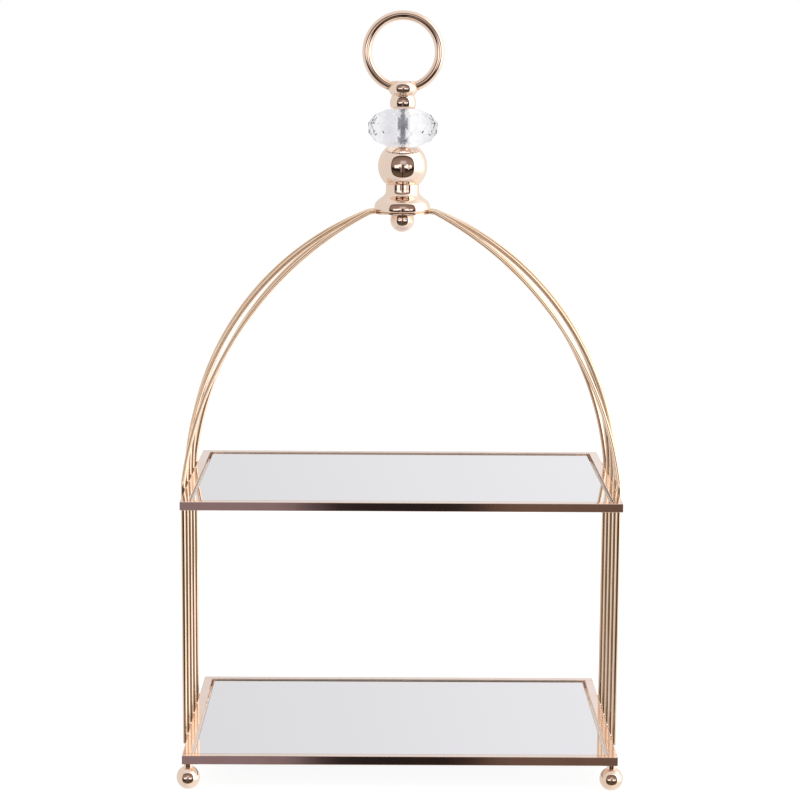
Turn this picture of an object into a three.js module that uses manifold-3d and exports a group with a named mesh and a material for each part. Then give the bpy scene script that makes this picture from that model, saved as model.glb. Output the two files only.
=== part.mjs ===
// Two-tier cake stand: two rectangular mirror trays carried by five rods on each side, which
// lean together into a pointed arch. A turned finial with a cut crystal bead and a carry ring
// sits on the crown, and the stand rests on four ball feet.
// Millimetres, +Z up, +X to the right, -Y to the front. The origin is under the middle of the
// stand, on the surface it stands on.
import * as THREE from 'three';
import { mergeVertices } from 'three/addons/utils/BufferGeometryUtils.js';
import { ConvexGeometry } from 'three/addons/geometries/ConvexGeometry.js';
import Module from 'manifold-3d';

const gap = 0.3;                  // joint line left between two pieces that touch

// Trays
const trayLength = 300;
const trayDepth = 200;
const tierSpacing = 178;          // from the top of one tray to the top of the next
const barWidth = 6;
const barHeight = 6;
const barEdgeRadius = 0.7;
const mirrorThickness = 3;
const mirrorRecess = 1;           // mirror surface below the top of the bars
const mirrorGap = 2;              // free space round the mirror inside its frame
const mirrorCornerRadius = 1.5;
const ledgeOverlap = 5;           // how far a ledge reaches under the mirror
const ledgeThickness = 1.2;

// Feet
const footRadius = 8.1;
const footFlatRadius = 1.8;       // small flat that the ball stands on
const footNeckRadius = 3.2;
const footNeckLength = 2.4;
const footInset = 4;              // from the tray's outer faces to the foot's axis
const footStudRadius = 1.3;
const footStudInBar = 4;
const footStudInBall = 7;

// Rods
const rodRadius = 1.6;
const rodCount = 5;               // on each side
const rodPitch = 25.7;            // along the tray's side bars
const rodSpringing = 3;           // height above the upper tray where the arch begins
const rodArcSteps = 24;
const crownRise = 189.8;          // from the upper tray's top to the rods' axis at the crown
const crownRodGap = 0.8;          // between neighbouring rods at the crown plate's rim
const crownBendReach = 4;         // from the crown plate's rim out to that bend

// Finial, from the bottom up
const nutRadius = 8.6;
const nutCentreDrop = 4.2;        // from the nut's flat top down to the middle of its ball
const nutBoreDepth = 6.5;
const crownPlateRadius = 20;
const crownPlateThickness = 1.2;  // the rods' lower sides are level with its underside
const baseRimRadius = 20;
const baseNeckRadius = 11.9;
const baseHeight = 19.5;
const ballRadius = 17.5;
const ballTopRadius = 11.3;
const ballBottomRadius = 12.6;
const crystalRadius = 24.6;
const crystalHeight = 26.2;
const crystalFacets = 16;         // round the waist
const collarHeight = 19.2;
const collarWaistRadius = 8.05;
const collarLowerRadius = 9.35;
const collarUpperRadius = 10.2;
const collarBeadHeight = 13.9;    // from the collar's foot to the middle of its upper bead
const ringWireRadius = 3.3;
const ringRadius = 25.4;          // to the middle of the wire
const studRadius = 3;
const studInCollar = 8.3;

const cutPast = 1;                // how far a cutting solid runs past the face it cuts

// How finely round things are divided
const turnSegments = 32;
const footSegments = 20;
const pinSegments = 16;
const wireSides = 12;
const ringSteps = 48;

// Places worked out from the sizes above
const footCentre = Math.sqrt(footRadius ** 2 - footFlatRadius ** 2);
const footHeight = footCentre + Math.sqrt(footRadius ** 2 - footNeckRadius ** 2) + footNeckLength;
const lowerTop = footHeight + gap + barHeight;
const upperTop = lowerTop + tierSpacing;
const innerLength = trayLength - 2 * barWidth;
const innerDepth = trayDepth - 2 * barWidth;
const rodX = trayLength / 2 + gap + rodRadius;
const crownZ = upperTop + crownRise;
const crownBottom = crownZ - rodRadius;
const crownTop = crownBottom + crownPlateThickness;
const boreRadius = studRadius + gap;
const ballCentreRise = Math.sqrt(ballRadius ** 2 - ballBottomRadius ** 2);
const ballHeight = ballCentreRise + Math.sqrt(ballRadius ** 2 - ballTopRadius ** 2);
const baseFoot = crownTop + gap;
const ballFoot = baseFoot + baseHeight + gap;
const crystalFoot = ballFoot + ballHeight + gap;
const collarFoot = crystalFoot + crystalHeight + gap;
const ringZ = collarFoot + collarBeadHeight + ringRadius;
const nutTop = crownBottom - gap;
const nutBoreFloor = nutTop - nutBoreDepth;

const plating = { color: 0xe2bf9e, roughness: 0.12, metalness: 1 };
const silvering = { color: 0xe4e4e8, roughness: 0.03, metalness: 1 };
const crystal = { color: 0xf2f4f8, roughness: 0.02, metalness: 0 };
const steel = { color: 0xa9a9ad, roughness: 0.35, metalness: 1 };

const wasm = await Module();
wasm.setup();

// A closed solid for joining and cutting, from a geometry
function solidOf(geometry) {
  const bare = geometry.clone();
  bare.deleteAttribute('normal');
  bare.deleteAttribute('uv');
  const merged = mergeVertices(bare, 1e-4);
  return new wasm.Manifold(new wasm.Mesh({
    numProp: 3,
    vertProperties: new Float32Array(merged.attributes.position.array),
    triVerts: new Uint32Array(merged.index.array),
  }));
}

function geometryOf(solid) {
  const mesh = solid.getMesh();
  const geometry = new THREE.BufferGeometry();
  geometry.setAttribute('position', new THREE.BufferAttribute(mesh.vertProperties, 3));
  geometry.setIndex(new THREE.BufferAttribute(mesh.triVerts, 1));
  geometry.computeVertexNormals();
  return geometry;
}

function part(name, geometry, look, x = 0, y = 0, z = 0) {
  const mesh = new THREE.Mesh(geometry, new THREE.MeshStandardMaterial(look));
  mesh.name = name;
  mesh.position.set(x, y, z);
  return mesh;
}

// Points on an arc of a turned profile, angles in degrees from the outward direction
function arc(radius, centreRadius, centreZ, from, to, steps) {
  const points = [];
  for (let i = 0; i <= steps; i++) {
    const angle = THREE.MathUtils.degToRad(from + (to - from) * i / steps);
    points.push([centreRadius + radius * Math.cos(angle), centreZ + radius * Math.sin(angle)]);
  }
  return points;
}

// A piece turned about the vertical axis; the profile holds [radius, height] pairs, from the
// bottom up along the outside
function turned(profile, segments) {
  const points = profile.map(([radius, height]) => new THREE.Vector2(Math.max(radius, 0), height));
  return new THREE.LatheGeometry(points, segments).rotateX(Math.PI / 2);
}

// A smooth outline through a few [radius, height] points
function smooth(outline, steps) {
  const corners = outline.map(([radius, height]) => new THREE.Vector2(radius, height));
  return new THREE.SplineCurve(corners).getPoints(steps).map((point) => [point.x, point.y]);
}

// A vertical pin or hole blank between two heights
function pin(radius, bottom, top, segments) {
  const length = top - bottom;
  return new THREE.CylinderGeometry(radius, radius, length, segments)
    .rotateX(Math.PI / 2)
    .translate(0, 0, bottom + length / 2);
}

function roundedRectangle(width, height, radius) {
  const x = width / 2;
  const y = height / 2;
  const shape = new THREE.Shape();
  shape.moveTo(x - radius, -y);
  shape.absarc(x - radius, -y + radius, radius, -Math.PI / 2, 0, false);
  shape.absarc(x - radius, y - radius, radius, 0, Math.PI / 2, false);
  shape.absarc(-x + radius, y - radius, radius, Math.PI / 2, Math.PI, false);
  shape.absarc(-x + radius, -y + radius, radius, Math.PI, 1.5 * Math.PI, false);
  shape.closePath();
  return shape;
}

// ---- Trays ----

// A square bar with softened edges, centred, along Y
function sideBar(length) {
  const section = roundedRectangle(barWidth, barHeight, barEdgeRadius);
  const settings = { depth: length, bevelEnabled: false, curveSegments: 3 };
  return new THREE.ExtrudeGeometry(section, settings)
    .translate(0, 0, -length / 2)
    .rotateX(Math.PI / 2);
}

function longBar(length) {
  return sideBar(length).rotateZ(Math.PI / 2);
}

// The lower tray's long bars have a blind hole over each foot
function drilledBar(length, side) {
  let bar = solidOf(longBar(length));
  const underside = -barHeight / 2;
  const holeTop = underside + footStudInBar + gap;
  for (const end of [-1, 1]) {
    const hole = pin(footStudRadius + gap, underside - cutPast, holeTop, pinSegments)
      .translate(end * (length / 2 - footInset), side * (barWidth / 2 - footInset), 0);
    bar = bar.subtract(solidOf(hole));
  }
  return geometryOf(bar);
}

function mirrorPlate() {
  const outline = roundedRectangle(
    innerLength - 2 * mirrorGap,
    innerDepth - 2 * mirrorGap,
    mirrorCornerRadius,
  );
  const settings = { depth: mirrorThickness, bevelEnabled: false, curveSegments: 4 };
  return new THREE.ExtrudeGeometry(outline, settings).translate(0, 0, -mirrorThickness);
}

// A tray with its top at z = 0: four bars, a ledge inside each bar, and the mirror on the ledges
function makeTray(name, overFeet) {
  const tray = new THREE.Group();
  const ledgeWidth = mirrorGap + ledgeOverlap;
  const ledgeTop = -mirrorRecess - mirrorThickness - gap;
  const ledgeZ = ledgeTop - ledgeThickness / 2;
  const sideBarLength = innerDepth - 2 * gap;
  const longLedgeLength = innerLength - 2 * gap;
  const sideLedgeLength = innerDepth - 2 * (ledgeWidth + 2 * gap);
  for (const side of [-1, 1]) {
    const longName = side < 0 ? 'front' : 'back';
    const sideName = side < 0 ? 'left' : 'right';
    const barY = side * (trayDepth - barWidth) / 2;
    const barX = side * (trayLength - barWidth) / 2;
    const ledgeY = side * (innerDepth / 2 - gap - ledgeWidth / 2);
    const ledgeX = side * (innerLength / 2 - gap - ledgeWidth / 2);
    const bar = overFeet ? drilledBar(trayLength, side) : longBar(trayLength);
    const shortBar = sideBar(sideBarLength);
    const longLedge = new THREE.BoxGeometry(longLedgeLength, ledgeWidth, ledgeThickness);
    const sideLedge = new THREE.BoxGeometry(ledgeWidth, sideLedgeLength, ledgeThickness);
    tray.add(part(`${name}_${longName}_bar`, bar, plating, 0, barY, -barHeight / 2));
    tray.add(part(`${name}_${sideName}_bar`, shortBar, plating, barX, 0, -barHeight / 2));
    tray.add(part(`${name}_${longName}_ledge`, longLedge, plating, 0, ledgeY, ledgeZ));
    tray.add(part(`${name}_${sideName}_ledge`, sideLedge, plating, ledgeX, 0, ledgeZ));
  }
  tray.add(part(`${name}_mirror`, mirrorPlate(), silvering, 0, 0, -mirrorRecess));
  return tray;
}

// ---- Feet ----

function footBall() {
  const flatAngle = -THREE.MathUtils.radToDeg(Math.acos(footFlatRadius / footRadius));
  const neckAngle = THREE.MathUtils.radToDeg(Math.acos(footNeckRadius / footRadius));
  const holeRadius = footStudRadius + gap;
  const holeBottom = footHeight - footStudInBall - gap;
  return turned([
    [0, 0],
    ...arc(footRadius, 0, footCentre, flatAngle, neckAngle, 10),
    [footNeckRadius, footHeight],
    [holeRadius, footHeight],
    [holeRadius, holeBottom],
    [0, holeBottom],
  ], footSegments);
}

function makeFeet() {
  const feet = new THREE.Group();
  for (const [xSide, xName] of [[-1, 'left'], [1, 'right']]) {
    for (const [ySide, yName] of [[-1, 'front'], [1, 'back']]) {
      const x = xSide * (trayLength / 2 - footInset);
      const y = ySide * (trayDepth / 2 - footInset);
      const studBottom = footHeight - footStudInBall;
      const studTop = footHeight + gap + footStudInBar;
      const stud = pin(footStudRadius, studBottom, studTop, pinSegments);
      feet.add(part(`foot_${yName}_${xName}`, footBall(), plating, x, y));
      feet.add(part(`foot_stud_${yName}_${xName}`, stud, steel, x, y));
    }
  }
  return feet;
}

// ---- Rods ----

// A path through given points, one step of an extrusion to each point after the first
class StationPath extends THREE.Curve {
  constructor(stations) {
    super();
    this.stations = stations;
  }

  getPoint(t) {
    const place = Math.min(Math.max(t, 0), 1) * (this.stations.length - 1);
    const index = Math.min(Math.floor(place), this.stations.length - 2);
    return this.stations[index].clone().lerp(this.stations[index + 1], place - index);
  }

  getPointAt(u) {
    return this.getPoint(u);
  }

  getTangentAt(u) {
    const index = Math.round(u * (this.stations.length - 1));
    const here = this.stations[index];
    const before = this.stations[Math.max(index - 1, 0)];
    const after = this.stations[Math.min(index + 1, this.stations.length - 1)];
    const coming = here.clone().sub(before).normalize();
    const going = after.clone().sub(here).normalize();
    return coming.add(going).normalize();
  }
}

// Half angle of an arc from its chord and its length
function halfAngle(chord, length) {
  let low = 1e-3;
  let high = Math.PI / 2;
  for (let i = 0; i < 50; i++) {
    const middle = (low + high) / 2;
    if (Math.sin(middle) / middle > chord / length) {
      low = middle;
    } else {
      high = middle;
    }
  }
  return (low + high) / 2;
}

// Where rod number k (0 in the middle) springs, and where it bends over to the crown plate,
// round which the rods are fanned
function rodEnds(k) {
  const rodEndReach = crownPlateRadius + gap;
  const fanAngle = k * (2 * rodRadius + crownRodGap) / rodEndReach;
  const bendReach = rodEndReach + crownBendReach;
  return [
    new THREE.Vector3(rodX, k * rodPitch, upperTop + rodSpringing),
    new THREE.Vector3(bendReach * Math.cos(fanAngle), bendReach * Math.sin(fanAngle), crownZ),
  ];
}

// The middle rod leaves the tray upright, and all rods are cut to its length, so the outer
// ones, which reach further, are a little flatter
function archLength() {
  const [foot, bend] = rodEnds(0);
  const chord = foot.distanceTo(bend);
  const half = Math.atan2(foot.x - bend.x, bend.z - foot.z);
  return chord * half / Math.sin(half);
}

function rodStations(k) {
  const [foot, bend] = rodEnds(k);
  const chord = foot.distanceTo(bend);
  const half = halfAngle(chord, archLength());
  const radius = chord / (2 * Math.sin(half));
  const along = bend.clone().sub(foot).normalize();
  const outward = new THREE.Vector3(along.z, 0, -along.x).normalize();
  const stations = [new THREE.Vector3(rodX, k * rodPitch, lowerTop - barHeight)];
  for (let i = 0; i <= rodArcSteps; i++) {
    const angle = half * (2 * i / rodArcSteps - 1);
    stations.push(foot.clone()
      .addScaledVector(along, chord / 2 + radius * Math.sin(angle))
      .addScaledVector(outward, radius * (Math.cos(angle) - Math.cos(half))));
  }
  const inward = (crownPlateRadius + gap) / Math.hypot(bend.x, bend.y);
  stations.push(new THREE.Vector3(bend.x * inward, bend.y * inward, crownZ));
  return stations;
}

function rod(k) {
  const section = new THREE.Shape();
  section.absarc(0, 0, rodRadius, 0, 2 * Math.PI, false);
  const stations = rodStations(k);
  return new THREE.ExtrudeGeometry(section, {
    steps: stations.length - 1,
    curveSegments: 4,
    extrudePath: new StationPath(stations),
  });
}

function makeRods() {
  const rods = new THREE.Group();
  for (let i = 0; i < rodCount; i++) {
    const k = i - (rodCount - 1) / 2;
    const right = part(`right_rod_${i + 1}`, rod(k), plating);
    const left = part(`left_rod_${i + 1}`, rod(-k), plating);
    left.rotation.z = Math.PI;
    rods.add(right, left);
  }
  return rods;
}

// ---- Crown and finial, all on the vertical axis ----

function crownPlate() {
  return turned([
    [boreRadius, crownBottom],
    [crownPlateRadius, crownBottom],
    [crownPlateRadius, crownTop],
    [boreRadius, crownTop],
    [boreRadius, crownBottom],
  ], turnSegments);
}

function domeNut() {
  const topAngle = THREE.MathUtils.radToDeg(Math.asin(nutCentreDrop / nutRadius));
  return turned([
    ...arc(nutRadius, 0, nutTop - nutCentreDrop, -90, topAngle, 12),
    [boreRadius, nutTop],
    [boreRadius, nutBoreFloor],
    [0, nutBoreFloor],
  ], turnSegments);
}

// A bell-shaped base with a rounded rim, which flares in to a straight neck
function finialBase() {
  const rim = smooth([
    [baseRimRadius - 0.9, baseFoot],
    [baseRimRadius - 0.2, baseFoot + 0.8],
    [baseRimRadius, baseFoot + 2.2],
    [baseRimRadius - 0.2, baseFoot + 4],
    [baseRimRadius - 1, baseFoot + 6.4],
    [baseRimRadius - 2.2, baseFoot + 7.8],
    [baseRimRadius - 3.7, baseFoot + 9.1],
    [baseNeckRadius + 2.6, baseFoot + 10.4],
    [baseNeckRadius + 1.1, baseFoot + 11.7],
    [baseNeckRadius + 0.2, baseFoot + 13.3],
    [baseNeckRadius, baseFoot + 15],
  ], 12);
  return turned([
    [boreRadius, baseFoot],
    ...rim,
    [baseNeckRadius, baseFoot + baseHeight],
    [boreRadius, baseFoot + baseHeight],
    [boreRadius, baseFoot],
  ], turnSegments);
}

function finialBall() {
  const bottomAngle = -THREE.MathUtils.radToDeg(Math.acos(ballBottomRadius / ballRadius));
  const topAngle = THREE.MathUtils.radToDeg(Math.acos(ballTopRadius / ballRadius));
  return turned([
    [boreRadius, ballFoot],
    ...arc(ballRadius, 0, ballFoot + ballCentreRise, bottomAngle, topAngle, 12),
    [boreRadius, ballFoot + ballHeight],
    [boreRadius, ballFoot],
  ], turnSegments);
}

// The crystal's rings of corners from the top down, as [share of its radius, share of its
// height from its middle]
const crystalRings = [
  [0.46, 0.5],
  [0.81, 0.36],
  [1, 0.13],
  [1, -0.13],
  [0.81, -0.36],
  [0.46, -0.5],
];

// A cut rondelle, with each ring turned half a facet from the one above
function crystalBead() {
  const middle = crystalFoot + crystalHeight / 2;
  const corners = [];
  crystalRings.forEach(([widthShare, heightShare], ring) => {
    for (let i = 0; i < crystalFacets; i++) {
      const angle = 2 * Math.PI * (i + ring / 2) / crystalFacets;
      const radius = widthShare * crystalRadius;
      const z = middle + heightShare * crystalHeight;
      corners.push(new THREE.Vector3(radius * Math.cos(angle), radius * Math.sin(angle), z));
    }
  });
  const top = crystalFoot + crystalHeight;
  const bore = pin(boreRadius, crystalFoot - cutPast, top + cutPast, pinSegments);
  return geometryOf(solidOf(new ConvexGeometry(corners)).subtract(solidOf(bore)));
}

function ringTorus(wireRadius) {
  return new THREE.TorusGeometry(ringRadius, wireRadius, wireSides, ringSteps)
    .rotateX(Math.PI / 2)
    .translate(0, 0, ringZ);
}

// Two beads with a waist; the ring runs through the upper bead
function ringCollar() {
  const outline = smooth([
    [collarLowerRadius - 0.75, collarFoot],
    [collarLowerRadius - 0.1, collarFoot + 1.6],
    [collarLowerRadius, collarFoot + 4],
    [collarLowerRadius - 0.5, collarFoot + 6.6],
    [collarWaistRadius, collarFoot + 9.2],
    [collarUpperRadius - 1.3, collarFoot + 11.3],
    [collarUpperRadius - 0.3, collarFoot + 13.2],
    [collarUpperRadius, collarFoot + 14.6],
    [collarUpperRadius - 0.4, collarFoot + 16.6],
    [collarUpperRadius - 1.3, collarFoot + 18.4],
    [collarUpperRadius - 2, collarFoot + collarHeight],
  ], 24);
  const holeTop = collarFoot + studInCollar + gap;
  const body = solidOf(turned([
    [boreRadius, collarFoot],
    ...outline,
    [0, collarFoot + collarHeight],
    [0, holeTop],
    [boreRadius, holeTop],
    [boreRadius, collarFoot],
  ], turnSegments));
  return geometryOf(body.subtract(solidOf(ringTorus(ringWireRadius + gap))));
}

function makeFinial() {
  const finial = new THREE.Group();
  const stud = pin(studRadius, nutBoreFloor + gap, collarFoot + studInCollar, pinSegments);
  finial.add(
    part('dome_nut', domeNut(), plating),
    part('crown_plate', crownPlate(), plating),
    part('finial_base', finialBase(), plating),
    part('finial_ball', finialBall(), plating),
    part('crystal_bead', crystalBead(), crystal),
    part('ring_collar', ringCollar(), plating),
    part('carry_ring', ringTorus(ringWireRadius), plating),
    part('finial_stud', stud, steel),
  );
  return finial;
}

const lowerTray = makeTray('lower', true);
lowerTray.position.z = lowerTop;
const upperTray = makeTray('upper', false);
upperTray.position.z = upperTop;

const stand = new THREE.Group();
stand.add(lowerTray, upperTray, makeFeet(), makeRods(), makeFinial());
export default stand;
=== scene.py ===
import math
import bmesh
import bpy
from mathutils import Matrix, Vector


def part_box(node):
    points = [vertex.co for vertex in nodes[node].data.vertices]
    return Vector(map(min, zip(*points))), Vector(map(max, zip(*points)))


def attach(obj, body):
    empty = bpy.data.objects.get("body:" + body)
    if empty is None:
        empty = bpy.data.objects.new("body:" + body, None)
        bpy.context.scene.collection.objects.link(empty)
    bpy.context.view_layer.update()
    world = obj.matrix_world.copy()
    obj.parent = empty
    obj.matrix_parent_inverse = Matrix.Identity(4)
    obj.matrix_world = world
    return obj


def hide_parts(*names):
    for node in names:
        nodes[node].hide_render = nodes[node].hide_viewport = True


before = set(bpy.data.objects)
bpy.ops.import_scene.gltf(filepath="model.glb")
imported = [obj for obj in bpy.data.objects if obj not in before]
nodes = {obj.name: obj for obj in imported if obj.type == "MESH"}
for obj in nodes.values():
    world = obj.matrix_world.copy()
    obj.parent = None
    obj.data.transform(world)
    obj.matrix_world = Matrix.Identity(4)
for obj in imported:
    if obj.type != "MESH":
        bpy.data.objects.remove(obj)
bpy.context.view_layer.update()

# Tiered cake stand: metres, +Z up, -Y to the front, the origin on the floor under the middle

mm = 0.001
near = 1e-6                # two places closer than this are the same place


cameraSetup = {
    "place": (-0.0114, -1.6013, 0.504),
    "lens": 101.88,
    "sensor": 36.0,
    "tiltDown": 0.1531,
    "turnRight": 0.0066,
    "roll": 0.0062,
}


def makeCamera():
    c = cameraSetup
    ahead = Vector((
        math.sin(c["turnRight"]) * math.cos(c["tiltDown"]),
        math.cos(c["turnRight"]) * math.cos(c["tiltDown"]),
        -math.sin(c["tiltDown"]),
    ))
    level = Vector((math.cos(c["turnRight"]), -math.sin(c["turnRight"]), 0))
    above = level.cross(ahead)
    right = math.cos(c["roll"]) * level + math.sin(c["roll"]) * above
    up = math.cos(c["roll"]) * above - math.sin(c["roll"]) * level
    data = bpy.data.cameras.new("standCamera")
    data.lens = c["lens"]
    data.sensor_width = c["sensor"]
    camera = bpy.data.objects.new("standCamera", data)
    turn = Matrix((right, up, -ahead)).transposed()
    camera.matrix_world = Matrix.Translation(c["place"]) @ turn.to_4x4()
    bpy.context.scene.collection.objects.link(camera)
    bpy.context.scene.camera = camera


makeCamera()
bpy.context.scene.view_settings.view_transform = "Standard"
print("camera placed")


class Wire:
    # one socket, so that sums on values can be written as expressions
    def __init__(self, net, socket):
        self.net = net
        self.socket = socket

    def __add__(self, other):
        return self.net.sum("ADD", self, other)

    def __radd__(self, other):
        return self.net.sum("ADD", other, self)

    def __sub__(self, other):
        return self.net.sum("SUBTRACT", self, other)

    def __rsub__(self, other):
        return self.net.sum("SUBTRACT", other, self)

    def __mul__(self, other):
        return self.net.sum("MULTIPLY", self, other)

    def __rmul__(self, other):
        return self.net.sum("MULTIPLY", other, self)

    def __truediv__(self, other):
        return self.net.sum("DIVIDE", self, other)

    def __pow__(self, other):
        return self.net.sum("POWER", self, other)

    def __neg__(self):
        return self.net.sum("MULTIPLY", self, -1)


class Net:
    def __init__(self, tree):
        self.tree = tree
        tree.nodes.clear()

    def node(self, kind, settings=None, inputs=None):
        made = self.tree.nodes.new(kind)
        for key, value in (settings or {}).items():
            if key == "stops":
                self.setStops(made.color_ramp, value)
            else:
                setattr(made, key, value)
        for key, value in (inputs or {}).items():
            self.feed(made.inputs[key], value)
        return made

    def feed(self, socket, value):
        if isinstance(value, Wire):
            self.tree.links.new(value.socket, socket)
        else:
            socket.default_value = value

    def setStops(self, ramp, stops):
        while len(ramp.elements) < len(stops):
            ramp.elements.new(1.0)
        for element, (at, colour) in zip(ramp.elements, stops):
            element.position = at
            element.color = (*colour, 1.0)

    def out(self, kind, name, settings=None, inputs=None):
        return Wire(self, self.node(kind, settings, inputs).outputs[name])

    def surface(self, shader, output="ShaderNodeOutputMaterial"):
        end = self.node(output)
        self.tree.links.new(shader.outputs[0], end.inputs["Surface"])

    def principled(self, inputs):
        self.surface(self.node("ShaderNodeBsdfPrincipled", None, inputs))

    def bump(self, height, strength, distance):
        inputs = {"Strength": strength, "Distance": distance, "Height": height}
        return self.out("ShaderNodeBump", "Normal", None, inputs)

    def ramp(self, value, stops):
        return self.out("ShaderNodeValToRGB", "Color", {"stops": stops}, {"Fac": value})

    def sum(self, operation, first, second=0.0):
        made = self.node("ShaderNodeMath", {"operation": operation}, {0: first, 1: second})
        return Wire(self, made.outputs[0])

    def step(self, value, low, high):
        made = self.node(
            "ShaderNodeMapRange",
            {"interpolation_type": "SMOOTHSTEP"},
            {"Value": value, "From Min": low, "From Max": high},
        )
        return Wire(self, made.outputs["Result"])

    def within(self, value, low, high, soft):
        # 1 between two limits, fading to 0 past them
        return self.step(value, low - soft, low + soft) * (1 - self.step(value, high - soft, high + soft))

    def noise(self, spot, scale, detail=2.0):
        inputs = {"Vector": spot, "Scale": scale, "Detail": detail, "Roughness": 0.5}
        return self.out("ShaderNodeTexNoise", "Fac", None, inputs)

    def mixColour(self, share, first, second):
        made = self.node("ShaderNodeMix", {"data_type": "RGBA"})
        self.feed(made.inputs["Factor"], share)
        for index, colour in ((6, first), (7, second)):
            self.feed(made.inputs[index], colour if isinstance(colour, Wire) else (*colour, 1.0))
        return Wire(self, made.outputs[2])

    def grey(self, value):
        parts = {"Red": value, "Green": value, "Blue": value}
        return self.out("ShaderNodeCombineColor", "Color", None, parts)

    def stretched(self, scale):
        spot = self.out("ShaderNodeTexCoord", "Object")
        return self.out("ShaderNodeMapping", "Vector", None, {"Vector": spot, "Scale": scale})


def startMaterial(name):
    material = bpy.data.materials.new(name)
    material.use_nodes = True
    return material, Net(material.node_tree)


# The light: a white tent, dim on the left and bright on the right, with a dark opening at the front.
# A pair of numbers says where a change of tone starts and ends, on one axis of the way looked in
tent = {
    "backdrop": (1.0, 1.0, 1.0),
    "soft": (1.05, 1.05, 1.05),
    "leftWall": (0.82, 0.82, 0.83),
    "rightWall": 1.0,
    "leftToRight": (-0.35, 0.35),
    "rightLamp": 1.0,              # added at the right, level with the stand and above
    "lampFront": (-0.75, 0.1),
    "lampFoot": (-0.45, -0.1),
    "overhead": (0.86, 0.86, 0.88),
    "wallToRoof": (0.55, 0.95),
    "backLeft": 0.80,
    "backRight": 0.93,
    "backAcross": (-0.14, 0.16),
    "wallToBack": (0.55, 0.85),
}

# The opening: places are across and up at one unit's distance. Three numbers are a patch's two limits
# and half the width of its fades
gloom = (0.022, 0.016, 0.015)
opening = {
    "halfWide": 1.48,
    "halfTall": 1.32,
    "cornerPower": 5,              # a rounded square
    "edge": 0.045,
    "front": (0.0, 0.1),
    "heights": [
        (-1.33, (0.15, 0.115, 0.08)),
        (-0.70, (0.13, 0.10, 0.07)),
        (-0.42, (0.06, 0.045, 0.038)),
        (-0.32, gloom),
        (-0.15, gloom),
        (0.00, (0.26, 0.195, 0.19)),
        (0.35, (0.33, 0.25, 0.23)),
        (0.85, (0.24, 0.175, 0.15)),
        (1.20, (0.09, 0.06, 0.05)),
    ],
    "nearAcross": (-0.19, 0.19, 0.03),
    "nearUp": (-0.5, -0.02, 0.08),
    "nearTurn": (0.0, 0.04),       # from mauve on the left to umber on the right
    "mauve": (0.265, 0.21, 0.235),
    "umber": (0.155, 0.105, 0.082),
    "hazeAcross": (-0.2, 0.3, 0.12),
    "hazeUp": (0.2, 0.5, 0.13),
    "hazeShare": 0.85,
    "haze": (0.74, 0.71, 0.75),
    "rimReach": (0.74, 0.95),
    "rimShare": 0.65,
}

# Two lit panels, whose outlines wander a little, and the camera's stand between them
panels = {
    "glow": (1.45, 1.40, 1.45),
    "leftAcross": (-0.74, -0.17, 0.05),
    "leftUp": (-0.1, 0.13, 0.05),
    "rightAcross": (0.2, 0.86, 0.05),
    "rightUp": (-0.2, 0.12, 0.05),
    "dipAcross": (0.42, 0.56, 0.05),
    "dipShare": 0.7,
    "swayScale": 3.4,
    "swaySlice": 0.37,
    "swayAcross": 0.7,
    "swayUp": 0.55,
    "columnAcross": (-0.036, 0.046, 0.012),
    "columnTop": (0.12, 0.2),
}

# Light that comes through the crystal, which turns the tent's sides round
crystalLight = {
    "across": [
        (0.00, (0.70, 0.70, 0.73)),
        (0.16, (0.78, 0.78, 0.80)),
        (0.36, (1.02, 1.02, 1.03)),
        (0.495, (1.04, 1.04, 1.05)),
        (0.515, (0.77, 0.76, 0.79)),
        (0.66, (0.79, 0.78, 0.81)),
        (0.80, (0.95, 0.95, 0.96)),
        (1.00, (0.82, 0.82, 0.84)),
    ],
    "facing": (0.55, 0.95),
    "facingShare": 0.5,
    "facingTone": (0.56, 0.55, 0.59),
}


def makeShell(net, x, y, z):
    # the tent's walls
    t = tent
    lamp = net.step(-y, *t["lampFront"]) * net.step(z, *t["lampFoot"]) * t["rightLamp"]
    bright = net.grey(lamp + t["rightWall"])
    walls = net.mixColour(net.step(x, *t["leftToRight"]), t["leftWall"], bright)
    walls = net.mixColour(net.step(z, *t["wallToRoof"]), walls, t["overhead"])
    backSpan = t["backRight"] - t["backLeft"]
    back = net.grey(t["backLeft"] + net.step(x, *t["backAcross"]) * backSpan)
    return net.mixColour(net.step(y, *t["wallToBack"]), walls, back)


def makeRoom(net, across, rise, reach):
    # what shows in the opening: dusk above, gloom below, and a patch of colour close by
    o = opening
    full = 2 * o["halfTall"]
    stops = [(0.5 + height / full, colour) for height, colour in o["heights"]]
    room = net.ramp(rise / full + 0.5, stops)
    close = net.within(across, *o["nearAcross"]) * net.within(rise, *o["nearUp"])
    closeTone = net.mixColour(net.step(across, *o["nearTurn"]), o["mauve"], o["umber"])
    room = net.mixColour(close, room, closeTone)
    haze = net.within(across, *o["hazeAcross"]) * net.within(rise, *o["hazeUp"])
    room = net.mixColour(haze * o["hazeShare"], room, o["haze"])
    room = addPanels(net, room, across, rise)
    rim = net.step(reach, *o["rimReach"]) * o["rimShare"]
    return net.mixColour(rim, room, gloom)


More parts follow.
